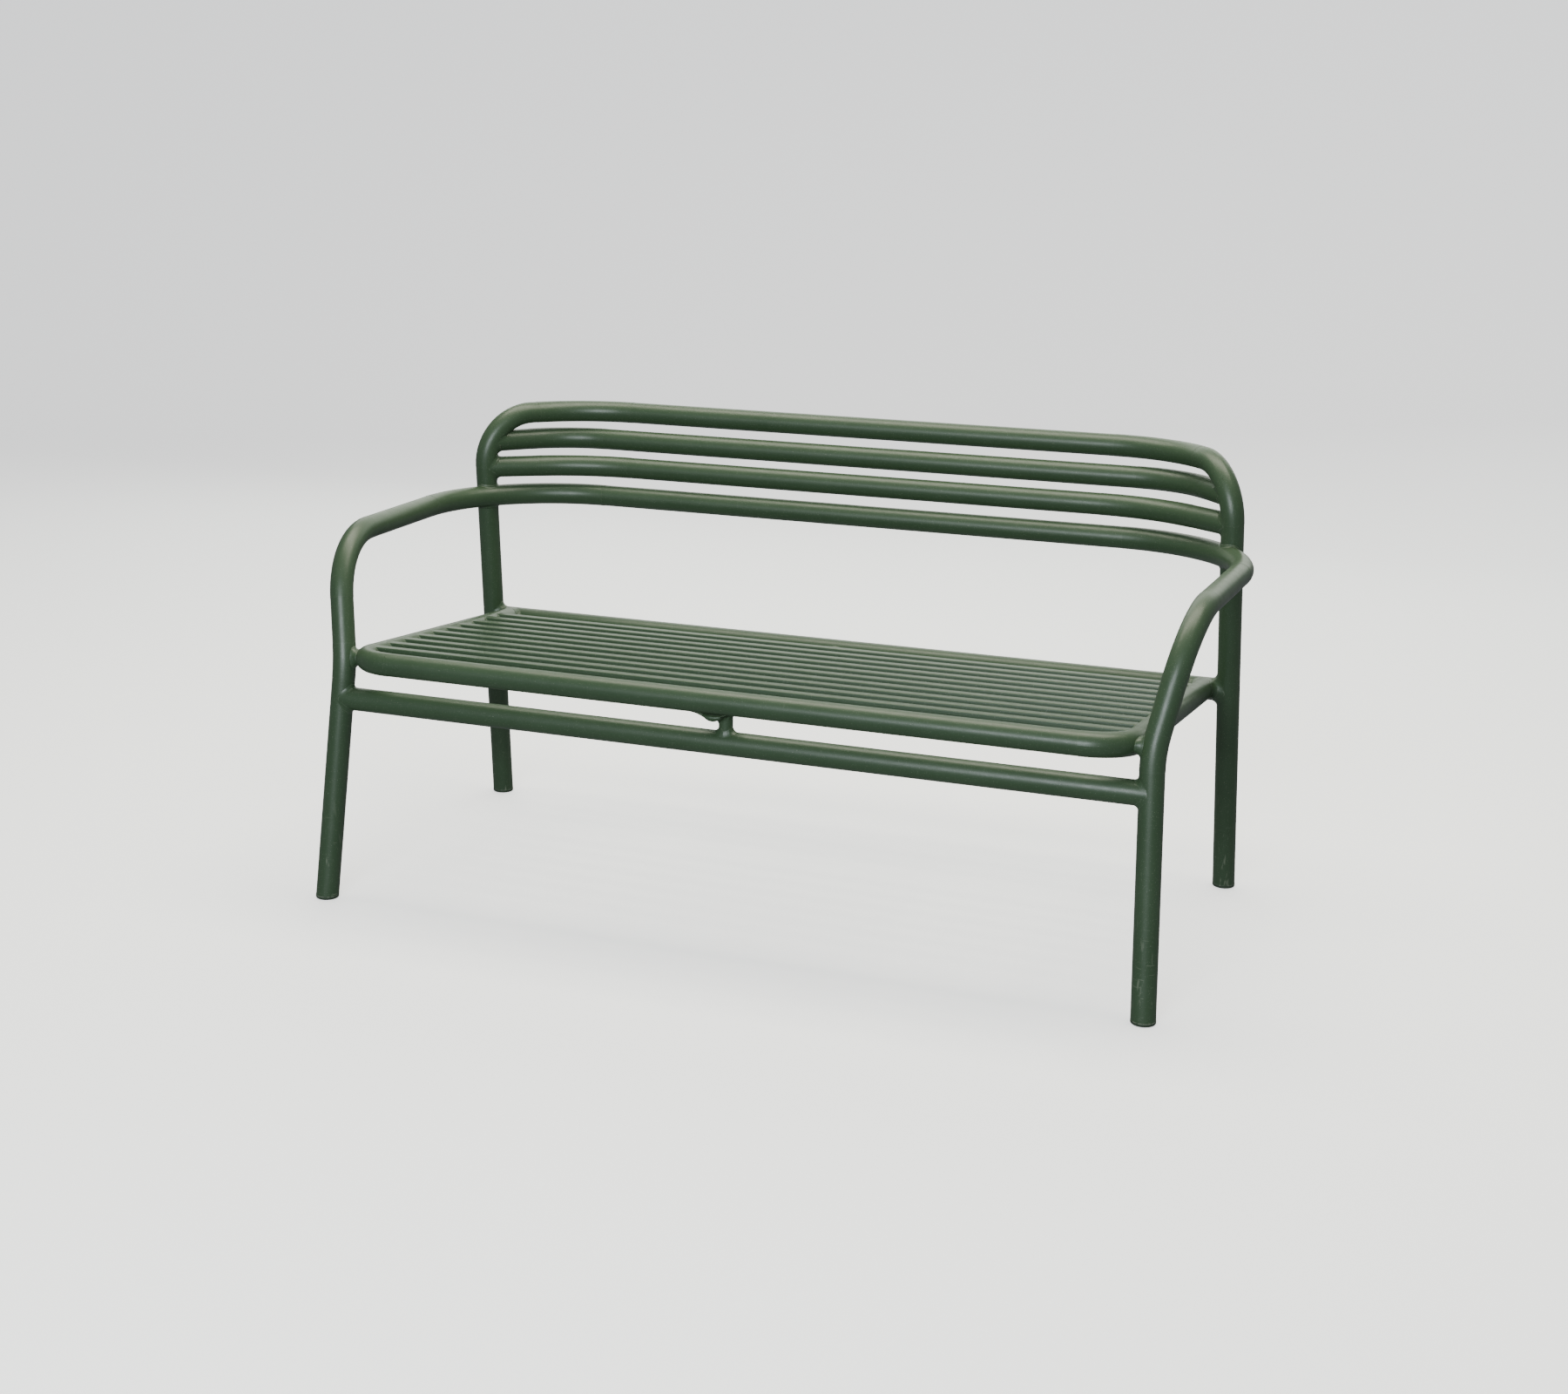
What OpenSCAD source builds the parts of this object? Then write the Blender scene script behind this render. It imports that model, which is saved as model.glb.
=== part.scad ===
// Tubular metal bench with a back and arms, welded from bent round tube.
// The origin is on the ground below the middle of the bench. X runs along the seat and -Y is the front.

/* [Tubes] */
// Outer diameter of the frame tubes
tube_d = 38; // [36:0.5:39]
// Wall thickness of every tube
tube_wall = 2; // [1.5:0.25:2.5]

/* [Front legs and stretcher] */
// Distance of each front foot from the middle of the bench
front_foot_x = 681.5; // [665:0.5:690]
// Distance of the front feet in front of the middle of the bench
front_foot_y = -359; // [-370:0.5:-350]
// Distance of the front leg's slight bend from the middle of the bench
front_knee_x = 662.5; // [655:0.5:668]
// Distance of the front leg's bend in front of the middle of the bench
front_knee_y = -311.5; // [-318:0.5:-305]
// Height of the front leg's bend
front_knee_z = 394; // [385:1:400]
// Height of the stretcher between the front legs
stretcher_z = 334; // [300:1:340]

/* [Arms and lower back rail] */
// Distance of the arm's front corner from the middle of the bench
arm_front_x = 699; // [690:1:705]
// Distance of the arm's front corner in front of the middle of the bench
arm_front_y = -258.5; // [-265:0.5:-250]
// Height of the arm at its front corner
arm_front_z = 586.5; // [580:0.5:592]
// Distance from the middle of the bench to where the arm's line meets the lower back rail's
arm_rear_x = 722; // [718:0.5:726]
// Distance of the lower back rail behind the middle of the bench
low_rail_y = 307; // [303:0.5:309]
// Height of the lower back rail
low_rail_z = 588.5; // [584:0.5:592]

/* [Back] */
// Distance of each rear foot from the middle of the bench
rear_foot_x = 692.5; // [685:0.5:700]
// Distance of the rear feet behind the middle of the bench
rear_foot_y = 293; // [288:0.5:300]
// Distance of the top rail's outer corners from the middle of the bench
top_corner_x = 673.5; // [670:0.5:680]
// Distance of the top rail's outer corners behind the middle of the bench
top_corner_y = 200; // [195:0.5:205]
// Height of the top rail
top_rail_z = 736.5; // [734:0.5:742]
// Distance of the top rail behind the middle of the bench
top_rail_y = 359; // [354:0.5:362]
// How far the top rail and the two slats lean back, in degrees
back_lean = 22.3; // [20:0.1:24]
// Distance of the top rail's bends from the middle of the bench
top_bend_x = 546; // [535:1:548]
// Height of the upper back slat
upper_slat_z = 687.5; // [686:0.5:690]
// Distance of the upper slat's bends from the middle of the bench
upper_bend_x = 571; // [560:1:573]
// Height of the lower back slat
lower_slat_z = 640.5; // [639:0.5:642]
// Distance of the lower slat's bends from the middle of the bench
lower_bend_x = 527; // [515:1:528]

/* [Seat] */
// Distance of the front rail in front of the middle of the bench
seat_front_y = -342.5; // [-346:0.5:-340]
// Height of the front rail's axis
seat_front_z = 404.5; // [400:0.5:408]
// Height of the rear rail's axis
seat_rear_z = 356.5; // [345:0.5:360]
// Distance of the side rails from the middle of the bench, at the front corners
seat_front_x = 630; // [625:1:631]
// Distance of the side rails from the middle of the bench, at the rear
seat_rear_x = 643; // [635:1:648]
// Radius of the seat frame's front corners
seat_corner_r = 69; // [50:1:75]
// Number of seat slats
slat_count = 10; // [6:1:10]
// Distance from one slat to the next
slat_pitch = 50.2; // [45:0.1:51]
// Distance from the front rail's axis to the first slat's middle
first_slat = 62; // [58:1:66]
// Width of a seat slat
slat_w = 20; // [16:1:24]
// Height of a seat slat
slat_h = 10; // [8:1:12]

/* [Centre support] */
// Distance of the bearer under the slats from the middle of the bench, to the left
bearer_x = -4; // [-20:1:0]
// Distance of the post from the middle of the bench
post_x = 9; // [0:1:15]
// Outer diameter of the post
post_d = 22; // [18:1:25]

/* [Feet] */
// Height of the plastic glide below each leg
glide_h = 6; // [4:0.5:8]
// Radius of the glide's lower edge
glide_edge_r = 3; // [1:0.5:3.5]

/* [Hidden] */
slat_names = [for (i = [1:slat_count]) str("seat_slat_", i)];
corner_names = ["front_left", "front_right", "rear_left", "rear_right"];
glide_names = [for (name = corner_names) str("foot_glide_", name)];

r = tube_d / 2;
bore_r = r - tube_wall;
green = [0.20, 0.27, 0.19];
black = [0.09, 0.09, 0.09];

knee_r = 200;        // bend radii, measured at the tube's axis
arm_front_r = 131;
arm_rear_r = 231;
top_corner_r = 87;
top_bend_r = 205;
upper_bend_r = 160;
lower_bend_r = 280;

weld_gap = 0.1;      // a coped end stops this far from the tube that it meets
lap = 1;             // how far a straight length reaches into the bend beside it
step = 0.25;         // how much thinner straight lengths are, so that no two surfaces coincide
slat_drop = 2;       // how far the slats' tops lie below the top of the seat frame
slat_corner_r = 2;
slat_wall = 1.5;
stem_h = 20;         // how far a glide's upright stem reaches up the leaning leg
stem_play = 2.5;     // room round the stem, as the leg leans and the stem does not
stem_r = bore_r - stem_play;
seam = 50;           // turns each round surface's seam clear of the cuts' outermost points
tube_fn = 48;

// Mirrors the left half of a path about the middle of the bench.
function both_sides(half) = concat(half, [for (i = [len(half) - 1:-1:0]) [-half[i].x, half[i].y, half[i].z]]);
function both_bends(half) = concat(half, [for (i = [len(half) - 1:-1:0]) half[i]]);
function unit(v) = v / norm(v);
function turn(a, b, c) = 180 - acos(unit(a - b) * unit(c - b));
function setback(a, b, c, bend_r) = bend_r * tan(turn(a, b, c) / 2);
// The point at height z on the line through a and b.
function at_height(a, b, z) = a + (b - a) * (z - a.z) / (b.z - a.z);
// The point at x and height z in the leaning plane of the back rails' middles.
function back_point(x, z) = [x, top_rail_y - (top_rail_z - z) * tan(back_lean), z];
// How far the hoop's axis has bent inward at height z, near its top corners.
function corner_inset(z) = top_corner_r - sqrt(top_corner_r ^ 2 - max(z - corner_start_z, 0) ^ 2);
// The point that lies along behind the front rail's axis and drop below it, measured in the seat's plane.
function seat_point(x, along, drop) = [x,
    seat_front_y + along * cos(seat_tilt) - drop * sin(seat_tilt),
    seat_front_z - along * sin(seat_tilt) - drop * cos(seat_tilt)];

rear_foot = [-rear_foot_x, rear_foot_y, 0];
top_corner = [-top_corner_x, top_corner_y, top_rail_z];
front_foot = [-front_foot_x, front_foot_y, 0];
front_knee = [-front_knee_x, front_knee_y, front_knee_z];
stretcher_end = at_height(front_foot, front_knee, stretcher_z);
top_bend = back_point(-top_bend_x, top_rail_z);
corner_start_z = top_rail_z - setback(rear_foot, top_corner, top_bend, top_corner_r);
seat_corner = [-seat_front_x, seat_front_y, seat_front_z];
seat_end = at_height(rear_foot, top_corner, seat_rear_z);
side_rail_end = [-seat_rear_x, seat_end.y, seat_rear_z];
seat_tilt = atan((seat_front_z - seat_rear_z) / (seat_end.y - seat_front_y));
seat_depth = norm([seat_end.y - seat_front_y, seat_end.z - seat_front_z]);

hoop_path = both_sides([rear_foot, top_corner, top_bend]);
hoop_bends = both_bends([0, top_corner_r, top_bend_r]);
arm_path = both_sides([front_foot, front_knee, [-arm_front_x, arm_front_y, arm_front_z],
    [-arm_rear_x, low_rail_y, low_rail_z]]);
arm_bends = both_bends([0, knee_r, arm_front_r, arm_rear_r]);
seat_path = both_sides([side_rail_end, seat_corner]);
seat_bends = both_bends([0, seat_corner_r]);

// The bearer's top lies against the slats' undersides.
bearer_drop = slat_drop + slat_h + weld_gap;
bearer_ends = [for (along = [0, seat_depth]) seat_point(bearer_x, along, bearer_drop)];

// A straight round rod from a to b.
module rod(a, b, rod_r) {
    d = b - a;
    translate(a)
        rotate([0, acos(d.z / norm(d)), atan2(d.y, d.x)])
            rotate(seam)
                cylinder(h = norm(d), r = rod_r, $fn = tube_fn);
}

// The bend at b on the way from a to c.
module elbow(a, b, c, bend_r, rod_r) {
    u = unit(a - b);
    w = unit(c - b);
    centre = b + unit(u + w) * bend_r / cos(turn(a, b, c) / 2);
    x = unit(b + u * setback(a, b, c, bend_r) - centre);
    z = unit(cross(w, u));
    y = cross(z, x);
    multmatrix([[x.x, y.x, z.x, centre.x], [x.y, y.y, z.y, centre.y], [x.z, y.z, z.z, centre.z]])
        rotate_extrude(angle = turn(a, b, c), $fn = 2 * tube_fn)
            translate([bend_r, 0])
                circle(r = rod_r, $fn = tube_fn);
}

// A round rod along the points of path, with the bend radius bends[i] at path[i].
module bent_rod(path, bends, rod_r) {
    last = len(path) - 1;
    back = [for (i = [0:last])
        i == 0 || i == last ? 0 : setback(path[i - 1], path[i], path[i + 1], bends[i]) - lap];
    for (i = [0:last - 1]) {
        d = unit(path[i + 1] - path[i]);
        rod(path[i] + d * back[i], path[i + 1] - d * back[i + 1], rod_r - step);
    }
    for (i = [1:last - 1]) {
        elbow(path[i - 1], path[i], path[i + 1], bends[i], rod_r);
    }
}

// A bent tube with its bore, less whatever its children cut away.
module bent_tube(path, bends) {
    difference() {
        bent_rod(path, bends, r);
        bent_rod(path, bends, bore_r);
        children();
    }
}

module straight_tube(a, b, outer_r) {
    difference() {
        rod(a, b, outer_r);
        rod(a, b, outer_r - tube_wall);
        children();
    }
}

// The ground side of the legs, where the glides are.
module below_legs() {
    translate([-arm_rear_x, front_foot_y - tube_d, -tube_d])
        cube([2 * arm_rear_x, rear_foot_y - front_foot_y + 2 * tube_d, tube_d + glide_h]);
}

// The hoop is notched where the arm tube passes in front of its legs.
module back_hoop() {
    color(green)
        bent_tube(hoop_path, hoop_bends) {
            bent_rod(arm_path, arm_bends, r + weld_gap);
            below_legs();
        }
}

module back_slat(bend_x, z, bend_r) {
    upright = at_height(rear_foot, top_corner, z);
    bend = back_point(-bend_x, z);
    end = upright + unit(bend - upright) * corner_inset(z);
    color(green)
        bent_tube(both_sides([end, bend]), both_bends([0, bend_r]))
            bent_rod(hoop_path, hoop_bends, r + weld_gap);
}

module back_slat_upper() {
    back_slat(upper_bend_x, upper_slat_z, upper_bend_r);
}

module back_slat_lower() {
    back_slat(lower_bend_x, lower_slat_z, lower_bend_r);
}

module arm_tube() {
    color(green)
        bent_tube(arm_path, arm_bends)
            below_legs();
}

module seat_rear_rail_rod(grow = 0) {
    rod(seat_end, [-seat_end.x, seat_end.y, seat_end.z], r + grow);
}

module seat_frame() {
    color(green)
        bent_tube(seat_path, seat_bends)
            seat_rear_rail_rod(weld_gap);
}

module seat_rear_rail() {
    color(green)
        straight_tube(seat_end, [-seat_end.x, seat_end.y, seat_end.z], r - weld_gap)
            for (side = [0, 1]) {
                mirror([side, 0, 0])
                    rod(rear_foot, top_corner, r + weld_gap);
            }
}

// Puts its children in the seat's plane, with their origin on the front rail's axis and +Y to the rear.
module on_seat() {
    translate([0, seat_front_y, seat_front_z])
        rotate([-seat_tilt, 0, 0])
            children();
}

module slat_outline(w, h, corner_r) {
    for (x = [corner_r - w / 2, w / 2 - corner_r], y = [corner_r - h / 2, h / 2 - corner_r]) {
        translate([x, y])
            circle(r = corner_r, $fn = 24);
    }
    square([w - 2 * corner_r, h], center = true);
    square([w, h - 2 * corner_r], center = true);
}

module seat_slat(i) {
    along = first_slat + (i - 1) * slat_pitch;
    half = seat_front_x + (seat_rear_x - seat_front_x) * along / seat_depth;
    color(green)
        difference() {
            on_seat()
                translate([-half, along, r - slat_drop - slat_h / 2])
                    rotate([90, 0, 90])
                        linear_extrude(height = 2 * half)
                            difference() {
                                slat_outline(slat_w, slat_h, slat_corner_r);
                                slat_outline(slat_w - 2 * slat_wall, slat_h - 2 * slat_wall,
                                    slat_corner_r - slat_wall);
                            }
            bent_rod(seat_path, seat_bends, r + weld_gap);
        }
}

module seat_bearer() {
    color(green)
        straight_tube(bearer_ends[0], bearer_ends[1], r) {
            bent_rod(seat_path, seat_bends, r + weld_gap);
            seat_rear_rail_rod(weld_gap);
        }
}

module front_stretcher() {
    color(green)
        straight_tube(stretcher_end, [-stretcher_end.x, stretcher_end.y, stretcher_end.z], r - weld_gap)
            for (side = [0, 1]) {
                mirror([side, 0, 0])
                    rod(front_foot, front_knee, r + weld_gap);
            }
}

module centre_post() {
    post_foot = [post_x, stretcher_end.y, stretcher_z];
    post_top = [post_x, stretcher_end.y, seat_front_z - r];
    color(green)
        straight_tube(post_foot, post_top, post_d / 2) {
            rod(stretcher_end, [-stretcher_end.x, stretcher_end.y, stretcher_end.z], r + weld_gap);
            bent_rod(seat_path, seat_bends, r + weld_gap);
            rod(bearer_ends[0], bearer_ends[1], r + weld_gap);
        }
}

// A plastic plug: a flange with a rounded lower edge, and a stem inside the leg's bore.
module foot_glide(foot, upper) {
    base = at_height(foot, upper, glide_h / 2);
    edge = [for (a = [-90:15:0]) [r - glide_edge_r, glide_edge_r] + glide_edge_r * [cos(a), sin(a)]];
    color(black)
        translate([base.x, base.y, 0])
            rotate_extrude($fn = 2 * tube_fn)
                polygon(concat([[0, 0]], edge, [[r, glide_h], [stem_r, glide_h], [stem_r, stem_h], [0, stem_h]]));
}

feet = [front_foot, [front_foot_x, front_foot_y, 0], rear_foot, [rear_foot_x, rear_foot_y, 0]];
above_feet = [front_knee, [front_knee_x, front_knee_y, front_knee_z], top_corner,
    [top_corner_x, top_corner_y, top_rail_z]];

back_hoop();
back_slat_upper();
back_slat_lower();
arm_tube();
seat_frame();
seat_rear_rail();
for (i = [1:slat_count]) {
    seat_slat(i);
}
seat_bearer();
front_stretcher();
centre_post();
for (i = [0:3]) {
    foot_glide(feet[i], above_feet[i]);
}
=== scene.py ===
"""Looks for a tubular metal bench: powder-coated tube, weld fillets, glides, floor, lights and camera.

Lengths are in metres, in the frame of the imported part: +X along the seat, -Y the front, +Z up.
"""
import math

import bpy
import numpy as np
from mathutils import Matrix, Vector
from mathutils.bvhtree import BVHTree


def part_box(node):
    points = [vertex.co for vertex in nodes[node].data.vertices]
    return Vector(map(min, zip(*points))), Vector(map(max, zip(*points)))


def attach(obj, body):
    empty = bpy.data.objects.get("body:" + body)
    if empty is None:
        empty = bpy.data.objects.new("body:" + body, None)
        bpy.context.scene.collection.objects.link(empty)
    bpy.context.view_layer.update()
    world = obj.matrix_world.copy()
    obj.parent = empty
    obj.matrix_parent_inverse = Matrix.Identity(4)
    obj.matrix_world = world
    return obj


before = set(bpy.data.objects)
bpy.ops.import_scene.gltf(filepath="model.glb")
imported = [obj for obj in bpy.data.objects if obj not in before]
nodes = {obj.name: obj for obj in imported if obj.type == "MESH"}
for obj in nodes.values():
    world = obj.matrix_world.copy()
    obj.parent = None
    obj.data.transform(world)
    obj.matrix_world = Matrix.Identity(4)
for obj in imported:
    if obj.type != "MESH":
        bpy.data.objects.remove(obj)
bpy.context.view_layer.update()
slats = sorted(name for name in nodes if name.startswith("seat_slat_"))
glides = sorted(name for name in nodes if name.startswith("foot_glide_"))


# ---------------------------------------------------------------- materials

class Nodes:
    """A new material's node tree, with a short way to add and join nodes."""

    def __init__(self, name):
        self.material = bpy.data.materials.new(name)
        self.material.use_nodes = True
        self.tree = self.material.node_tree
        self.shader = self.tree.nodes["Principled BSDF"]

    def add(self, kind, inputs=None, **settings):
        node = self.tree.nodes.new(kind)
        for key, value in settings.items():
            setattr(node, key, value)
        for key, value in (inputs or {}).items():
            self.feed(node.inputs[key], value)
        return node

    def feed(self, socket, value):
        """Links a socket to another node's output, or sets its constant."""
        if isinstance(value, bpy.types.NodeSocket):
            self.tree.links.new(value, socket)
        else:
            socket.default_value = value

    def link(self, output, key):
        self.tree.links.new(output, self.shader.inputs[key])

    def noise(self, place, scale, detail=2.0, roughness=0.5):
        inputs = {"Vector": place, "Scale": scale, "Detail": detail, "Roughness": roughness}
        return self.add("ShaderNodeTexNoise", inputs).outputs["Fac"]

    def stretch(self, place, scales):
        """A place scaled along each axis, so that a noise read there comes out stretched."""
        node = self.add("ShaderNodeVectorMath", {0: place, 1: scales}, operation="MULTIPLY")
        return node.outputs["Vector"]

    def remap(self, value, low, high, to_low=0.0, to_high=1.0):
        inputs = {"Value": value, "From Min": low, "From Max": high, "To Min": to_low, "To Max": to_high}
        return self.add("ShaderNodeMapRange", inputs).outputs["Result"]

    def mix(self, amount, first, second):
        node = self.add("ShaderNodeMix", data_type="RGBA")
        colours = [socket for socket in node.inputs if socket.type == "RGBA"]
        for socket, value in zip(colours, (first, second)):
            self.feed(socket, value if isinstance(value, bpy.types.NodeSocket) else (*value, 1.0))
        self.feed(node.inputs["Factor"], amount)
        return next(socket for socket in node.outputs if socket.type == "RGBA")

    def maths(self, operation, first, second):
        node = self.add("ShaderNodeMath", operation=operation)
        for socket, value in zip(node.inputs, (first, second)):
            self.feed(socket, value)
        return node.outputs["Value"]


green_dark = (0.031, 0.061, 0.028)
green_light = (0.037, 0.069, 0.033)
# Pale colour for real wear on the specks and scuffs, and for a painted highlight along rounded edges
pale_wear_and_highlight = (0.27, 0.29, 0.22)
glide_green = (0.026, 0.046, 0.024)
glide_black = (0.012, 0.012, 0.012)
worn_rim = (0.25, 0.26, 0.21)


def powder_coat():
    """Satin powder coat: orange peel, faint colour drift, pale specks, a painted highlight along rounded
    edges and scuffed feet.
    """
    coat = Nodes("green_powder_coat")
    place = coat.add("ShaderNodeTexCoord").outputs["Object"]
    drift = coat.noise(place, 9.0, detail=3.0)
    green = coat.mix(coat.remap(drift, 0.3, 0.7), green_dark, green_light)
    specks = coat.remap(coat.noise(place, 900.0, detail=0.0), 0.74, 0.8, 0.0, 0.35)
    upright = coat.noise(coat.stretch(place, (170.0, 170.0, 22.0)), 1.0, detail=3.0)
    streaks = coat.remap(upright, 0.62, 0.70)
    level = coat.noise(coat.stretch(place, (45.0, 45.0, 420.0)), 1.0, detail=1.0)
    nicks = coat.remap(level, 0.72, 0.76)
    height = coat.add("ShaderNodeSeparateXYZ", {"Vector": place}).outputs["Z"]
    near_ground = coat.remap(height, 0.02, 0.20, 0.42, 0.0)
    scuffs = coat.maths("MULTIPLY", coat.maths("MAXIMUM", streaks, nicks), near_ground)
    # Paler colour along rounded edges, found from the bevel normal: a painted highlight
    rounded = coat.add("ShaderNodeBevel", {"Radius": 0.0012}, samples=4).outputs["Normal"]
    flat = coat.add("ShaderNodeNewGeometry").outputs["Normal"]
    alike = coat.add("ShaderNodeVectorMath", {0: rounded, 1: flat}, operation="DOT_PRODUCT")
    edges = coat.remap(alike.outputs["Value"], 0.985, 0.93, 0.0, 0.3)
    painted_edge_highlight = coat.maths("MULTIPLY", edges, drift)
    # The pale mix is real wear at the specks and scuffs, and a painted highlight at the edges
    wear_and_highlight = coat.maths("MAXIMUM", coat.maths("MAXIMUM", specks, scuffs), painted_edge_highlight)
    coat.link(coat.mix(wear_and_highlight, green, pale_wear_and_highlight), "Base Color")
    coat.link(coat.remap(coat.noise(place, 60.0), 0.3, 0.7, 0.37, 0.43), "Roughness")
    coat.shader.inputs["IOR"].default_value = 1.5
    peel = coat.noise(place, 420.0, detail=2.0)
    bump = coat.add("ShaderNodeBump", {"Height": peel, "Strength": 0.12, "Distance": 0.001})
    coat.link(bump.outputs["Normal"], "Normal")
    return coat.material


def glide_plastic():
    """Matte plastic: dark green, with a pale worn rim against the tube and black at the ground."""
    plastic = Nodes("glide_plastic")
    place = plastic.add("ShaderNodeTexCoord").outputs["Object"]
    grain = plastic.noise(place, 300.0)
    height = plastic.add("ShaderNodeSeparateXYZ", {"Vector": place}).outputs["Z"]
    body = plastic.mix(plastic.remap(height, 0.001, 0.0025), glide_black, glide_green)
    near_tube = plastic.remap(height, 0.0050, 0.0056)
    rim = plastic.maths("MULTIPLY", near_tube, plastic.remap(grain, 0.40, 0.60, 0.1, 0.8))
    plastic.link(plastic.mix(rim, body, worn_rim), "Base Color")
    plastic.link(plastic.remap(grain, 0.3, 0.7, 0.45, 0.6), "Roughness")
    return plastic.material


# ---------------------------------------------------------------- the frame's surfaces

green_coat = powder_coat()
dark_plastic = glide_plastic()


def shade_smooth(mesh):
    for face in mesh.polygons:
        face.use_smooth = True


def mesh_piece(name, points, faces, material):
    """A new smooth-shaded mesh object in one material."""
    mesh = bpy.data.meshes.new(name)
    mesh.from_pydata(points, [], faces)
    mesh.materials.append(material)
    shade_smooth(mesh)
    piece = bpy.data.objects.new(name, mesh)
    bpy.context.collection.objects.link(piece)
    return piece


def dress_frame():
    """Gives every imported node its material, and soft shading across the flats of its mesh."""
    for name, piece in nodes.items():
        piece.data.materials.clear()
        piece.data.materials.append(dark_plastic if name in glides else green_coat)
        shade_smooth(piece.data)
        split = piece.modifiers.new("edges", "EDGE_SPLIT")
        split.split_angle = math.radians(35)


# ---------------------------------------------------------------- weld fillets

tube_radius = 0.019
slat_width = 0.020
slat_height = 0.010
end_reach = 0.04       # how far back from a tube's end its outline is taken
ray_reach = 0.2        # further than any outline is from the surface that it meets
ray_inset = 0.0004     # how far inside an outline its rays run
ring_sink = 0.0003     # how far a ring's edges lie below the surfaces that it joins
neck_sink = 0.0004     # the same for a neck
hidden_side = 0.001    # how far a ring's hidden side lies inside the tube
lean = 0.5             # how much a ring follows its tube's direction where the surface slants
fullness = 0.15        # from 0, a ring drawn right into its corner, to 1, a flat one
neck_rounds = 8        # steps from surface to surface that find the spot where they touch
up = Vector((0, 0, 1))
sides = (("left", -1), ("right", 1))


def box_middle(name):
    low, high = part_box(name)
    return (low + high) / 2


def surface(*names):
    """The named nodes' faces, for casting rays at them and finding the point nearest to a place."""
    points, faces = [], []
    for name in names:
        mesh = nodes[name].data
        base = len(points)
        points += [vertex.co.copy() for vertex in mesh.vertices]
        faces += [[base + corner for corner in face.vertices] for face in mesh.polygons]
    return BVHTree.FromPolygons(points, faces)


def tube_end(name, axis, sign, side):
    """A point on a tube's axis near one end, and the direction in which the axis leaves that end.

    The end is the furthest one along the axis numbered axis, on the given side of the middle.
    """
    mesh = nodes[name].data
    on_side = [vertex for vertex in mesh.vertices if side * vertex.co.x >= 0]
    far = max(sign * vertex.co[axis] for vertex in on_side)
    near = {vertex.index for vertex in on_side if sign * vertex.co[axis] > far - end_reach}
    faces = [face for face in mesh.polygons if near.intersection(face.vertices)]
    normals = np.array([face.normal for face in faces])
    areas = np.array([face.area for face in faces])
    centres = np.array([face.center for face in faces])
    spread = (normals * areas[:, None]).T @ normals
    direction = np.linalg.eigh(spread)[1][:, 0]
    direction = direction * sign * np.sign(direction[axis])
    middle = np.average(centres, axis=0, weights=areas)
    # Faces of the tube's outside, not of its bore
    outer = ((centres - middle) * normals).sum(axis=1) > 0.4 * tube_radius
    on_axis = np.average(centres[outer] - tube_radius * normals[outer], axis=0, weights=areas[outer])
    to_end = (sign * far - on_axis[axis]) / direction[axis]
    return Vector(on_axis + (to_end - end_reach) * direction), Vector(direction)


def circle_outline(middle, direction, radius, count=56):
    """Points around a tube, each with the direction that points straight out of it."""
    across = direction.orthogonal().normalized()
    over = direction.cross(across)
    spokes = []
    for step in range(count):
        angle = math.tau * step / count
        spokes.append(math.cos(angle) * across + math.sin(angle) * over)
    return [(middle + radius * spoke, spoke) for spoke in spokes]


def bar_outline(middle, tilt, width, height):
    """The same around a flat bar that runs along X and is tilted about it."""
    across = Vector((0, math.cos(tilt), -math.sin(tilt)))
    over = Vector((0, math.sin(tilt), math.cos(tilt)))
    outline = []
    for corner in range(4):
        a = (across, over, -across, -over)[corner]
        b = (over, -across, -over, across)[corner]
        half_a = (width, height)[corner % 2] / 2
        half_b = (height, width)[corner % 2] / 2
        for share in (-0.8, 0.0, 0.8):
            outline.append((middle + a * half_a + b * half_b * share, a))
        outline.append((middle + a * half_a * 0.96 + b * half_b * 0.96, (a + b).normalized()))
    return outline


def ring_mesh(name, rows, closed):
    """Weld metal through one outline after another, in a closed ring or with two capped ends."""
    across = len(rows[0])
    points = [point for row in rows for point in row]
    faces = []
    for i in range(len(rows) if closed else len(rows) - 1):
        j = (i + 1) % len(rows)
        for k in range(across):
            m = (k + 1) % across
            faces.append((i * across + k, i * across + m, j * across + m, j * across + k))
    if not closed:
        faces.append(tuple(range(across)))
        faces.append(tuple(range(len(points) - 1, len(points) - across - 1, -1)))
    weld = mesh_piece(name, points, faces, green_coat)
    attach(weld, "root")


def bend(start, corner, end, count=6):
    """Points on a curve from start to end that is drawn towards the corner."""
    points = []
    for step in range(count + 1):
        t = step / count
        points.append((1 - t) ** 2 * start + 2 * t * (1 - t) * corner + t ** 2 * end)
    return points


def ripple(i):
    """The width of a hand-made weld at its point number i, as a share of its usual width."""
    return 1 + 0.08 * math.sin(1.7 * i) + 0.05 * math.sin(0.6 * i + 2)


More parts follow.
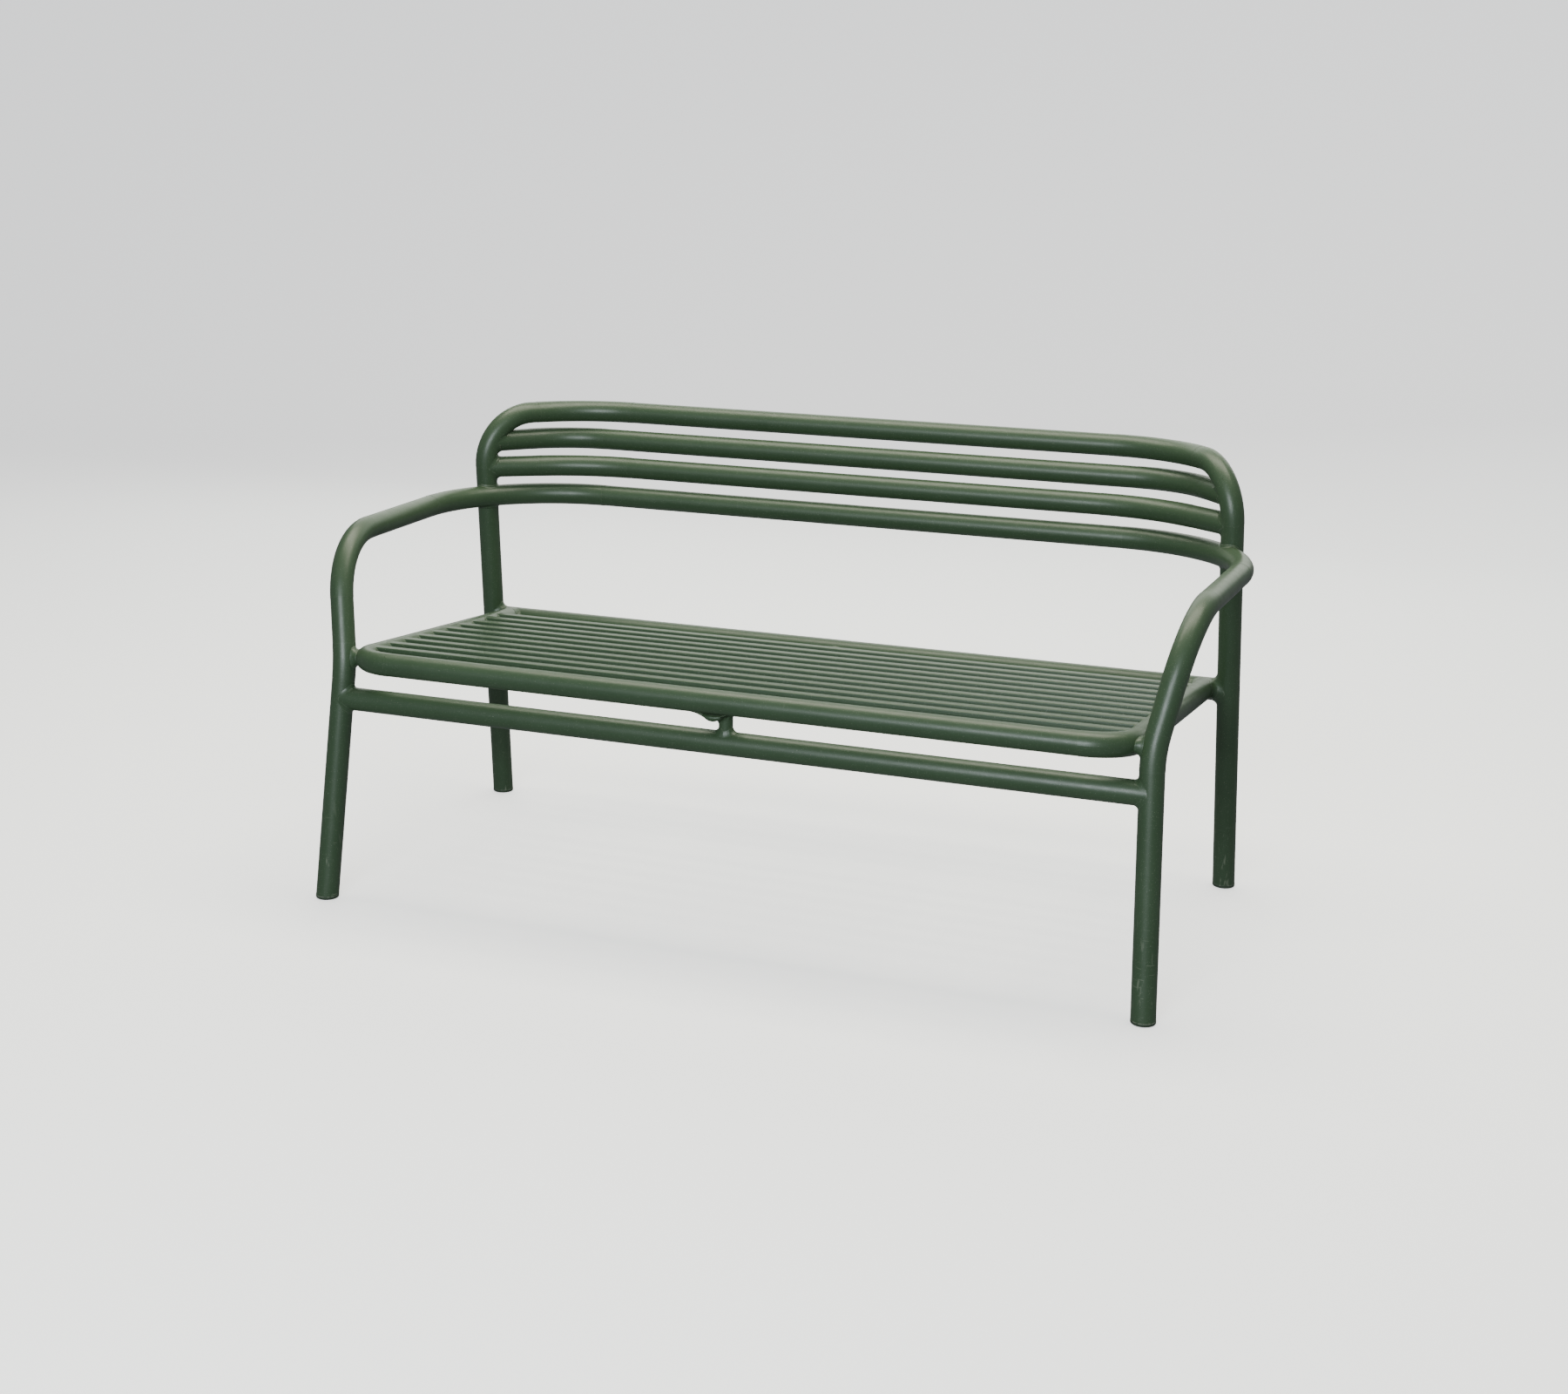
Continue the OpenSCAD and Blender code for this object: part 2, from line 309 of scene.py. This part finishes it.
def weld_ring(name, outline, direction, target, size, more=Vector(), bridge=None):
    """A fillet where a tube or bar with this outline runs into the target surface.

    It is wider by the length of the vector more on the side to which that vector points. Where the
    tube runs past the target, the fillet is left out, or it bridges from the tube's end, which is
    the distance bridge beyond the outline, to the nearest part of the target.
    """
    rows = []
    for i, (edge, out) in enumerate(outline):
        leg = (size + max(out.dot(more), 0)) * ripple(i)
        hit, normal, _, _ = target.ray_cast(edge - ray_inset * out, direction, ray_reach)
        if hit is not None and (bridge is None or (hit - edge).length < bridge + size):
            if normal.dot(direction) > 0:
                normal = -normal
            corner = edge + (hit - edge).dot(direction) * direction
            away = out + lean * direction
            away = (away - away.dot(normal) * normal).normalized()
        elif bridge is not None:
            corner = edge + bridge * direction
            away = out
        else:
            rows.append(None)
            continue
        aim = corner + leg * away
        on_target, target_normal, _, _ = target.find_nearest(aim)
        if target_normal.dot(aim - on_target) < 0:
            target_normal = -target_normal
        on_tube = corner - leg * direction - ring_sink * out
        on_target = on_target - ring_sink * target_normal
        hollow = corner.lerp((on_tube + on_target) / 2, fullness)
        rows.append(bend(on_tube, hollow, on_target) + [corner - hidden_side * out])
    closed = None not in rows
    if not closed:
        start = rows.index(None)
        rows = [row for row in rows[start:] + rows[:start] if row]
    ring_mesh(name, rows, closed)


def weld_neck(name, first, second, place, reach):
    """A fillet round the spot where two tubes pass and touch near a place."""
    on_first = first.find_nearest(place)[0]
    for _ in range(neck_rounds):
        on_second = second.find_nearest(on_first)[0]
        on_first = first.find_nearest(on_second)[0]
    middle = (on_first + on_second) / 2
    normal = first.find_nearest(middle)[1]
    waist = 0.62 * reach
    core = 0.4 * reach
    rows = []
    for spot, out in circle_outline(middle, normal, reach):
        low, low_normal, _, _ = first.find_nearest(spot)
        high, high_normal, _, _ = second.find_nearest(spot)
        start = low - neck_sink * low_normal
        end = high - neck_sink * high_normal
        rows.append(bend(start, middle + waist * out, end) + [middle + core * out])
    ring_mesh(name, rows, closed=True)


def weld_tube_end(name, word, axis, sign, side, other, size, **shape):
    """A fillet where one end of a frame tube meets another node."""
    middle, direction = tube_end(name, axis, sign, side)
    outline = circle_outline(middle, direction, tube_radius)
    weld_ring(f"weld_{name}_{word}", outline, direction, surface(other), size, **shape)


def weld_crossing(word, side):
    """Fillets above and below the arm tube where it passes one leg of the hoop."""
    foot, down = tube_end("back_hoop", 2, -1, side)
    slat_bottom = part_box("back_slat_lower")[0].z
    for end, rise, direction in (("above", 0.03, down), ("below", -0.10, -down)):
        middle = foot + down * (slat_bottom + rise - foot.z) / down.z
        outline = circle_outline(middle, direction, tube_radius)
        weld_ring(f"weld_arm_{end}_{word}", outline, direction, surface("arm_tube"), 0.004)


def weld_post():
    """Fillets at the top and bottom of the centre post."""
    low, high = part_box("centre_post")
    middle = (low + high) / 2
    radius = (high.x - low.x) / 2
    weld_ring("weld_centre_post_top", circle_outline(middle, up, radius), up,
              surface("seat_frame", "seat_bearer"), 0.009,
              more=Vector((0.005, 0, 0)), bridge=high.z - middle.z)
    weld_ring("weld_centre_post_bottom", circle_outline(middle, -up, radius), -up,
              surface("front_stretcher"), 0.009)


def weld_seat_to_leg(word, side):
    """The weld where the seat frame's front corner touches a front leg."""
    low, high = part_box("seat_frame")
    corner = Vector((side * abs(low.x), low.y + 0.03, high.z - 0.02))
    leg = surface("arm_tube")
    weld_neck(f"weld_seat_to_leg_{word}", leg, surface("seat_frame"), corner, 0.020)


def weld_frame():
    """Fillets at every joint of the frame tubes."""
    for word, side in sides:
        weld_tube_end("back_slat_upper", word, 0, side, side, "back_hoop", 0.007, more=0.017 * up)
        weld_tube_end("back_slat_lower", word, 0, side, side, "back_hoop", 0.007)
        weld_tube_end("seat_rear_rail", word, 0, side, side, "back_hoop", 0.010)
        weld_tube_end("seat_frame", word, 1, 1, side, "seat_rear_rail", 0.009)
        weld_tube_end("front_stretcher", word, 0, side, side, "arm_tube", 0.007)
    weld_tube_end("seat_bearer", "rear", 1, 1, 0, "seat_rear_rail", 0.006)
    for word, side in sides:
        weld_crossing(word, side)
    weld_tube_end("seat_bearer", "front", 1, -1, 0, "seat_frame", 0.010,
                  more=Vector((-0.022, 0, 0)), bridge=end_reach)
    weld_post()
    for word, side in sides:
        weld_seat_to_leg(word, side)


def weld_slats():
    """Small fillets at both ends of every seat slat."""
    first = box_middle("seat_slat_1")
    last = box_middle("seat_slat_10")
    tilt = math.atan2(first.z - last.z, last.y - first.y)
    target = surface("seat_frame")
    inset = 0.03
    for name in slats:
        middle = box_middle(name)
        for word, side in sides:
            near_end = Vector((side * (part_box(name)[1].x - inset), middle.y, middle.z))
            outline = bar_outline(near_end, tilt, slat_width, slat_height)
            weld_ring(f"weld_{name}_{word}", outline, Vector((side, 0, 0)), target, 0.0025)


# ---------------------------------------------------------------- floor, lights and camera

def studio_floor():
    """A pale floor that curves up into a wall. It throws no light back on the bench."""
    front, depth, height, bend_r, half_width = -6.0, 5.0, 5.0, 1.5, 9.0
    bend_steps = 16
    outline = [(front, 0.0), (depth - bend_r, 0.0)]
    for step in range(1, bend_steps + 1):
        angle = math.radians(90) * step / bend_steps
        outline.append((depth - bend_r + bend_r * math.sin(angle), bend_r - bend_r * math.cos(angle)))
    outline.append((depth, height))
    points = [(x, y, z) for y, z in outline for x in (-half_width, half_width)]
    faces = [(2 * i, 2 * i + 1, 2 * i + 3, 2 * i + 2) for i in range(len(outline) - 1)]
    paper = Nodes("studio_floor")
    paper.shader.inputs["Base Color"].default_value = (0.9, 0.9, 0.9, 1.0)
    paper.shader.inputs["Roughness"].default_value = 0.8
    paper.shader.inputs["Emission Color"].default_value = (1.0, 1.0, 1.0, 1.0)
    paper.shader.inputs["Emission Strength"].default_value = 1.0
    floor = mesh_piece("studio_floor", points, faces, paper.material)
    floor.visible_diffuse = False
    floor.visible_glossy = False


def softbox(name, place, target, width, height, power, colour):
    """A rectangular light that faces the target and that the camera does not see."""
    light = bpy.data.lights.new(name, "AREA")
    light.shape = "RECTANGLE"
    light.size = width
    light.size_y = height
    light.energy = power
    light.color = colour
    lamp = bpy.data.objects.new(name, light)
    lamp.location = place
    lamp.rotation_euler = (Vector(target) - Vector(place)).to_track_quat("-Z", "Y").to_euler()
    lamp.visible_camera = False
    bpy.context.collection.objects.link(lamp)


def studio_lights():
    """Wide lights behind and above, a cool one behind the camera, and a little from all round."""
    seat = (0.0, 0.0, 0.45)
    softbox("back_light", (-0.5, 3.2, 2.2), seat, 5.5, 2.6, 105, (0.95, 1.0, 0.88))
    softbox("top_light", (0.0, 0.3, 3.0), seat, 3.5, 1.4, 120, (1.0, 0.96, 0.80))
    softbox("front_light", (0.4, -4.4, 1.7), seat, 2.0, 0.8, 170, (0.88, 0.96, 1.0))
    world = bpy.data.worlds.new("studio")
    world.use_nodes = True
    sky = world.node_tree.nodes["Background"]
    sky.inputs["Color"].default_value = (0.92, 0.96, 1.0, 1.0)
    sky.inputs["Strength"].default_value = 0.26
    bpy.context.scene.world = world


def studio_camera():
    """Stands to the bench's right of centre, looking slightly down."""
    data = bpy.data.cameras.new("camera")
    data.sensor_width = 36.0
    data.lens = 50.006
    camera = bpy.data.objects.new("camera", data)
    camera.location = (1.1871, -3.3072, 1.2468)
    camera.rotation_euler = [math.radians(angle) for angle in (75.378, -1.083, 20.229)]
    bpy.context.collection.objects.link(camera)
    bpy.context.scene.camera = camera


dress_frame()
weld_frame()
weld_slats()
studio_floor()
studio_lights()
studio_camera()
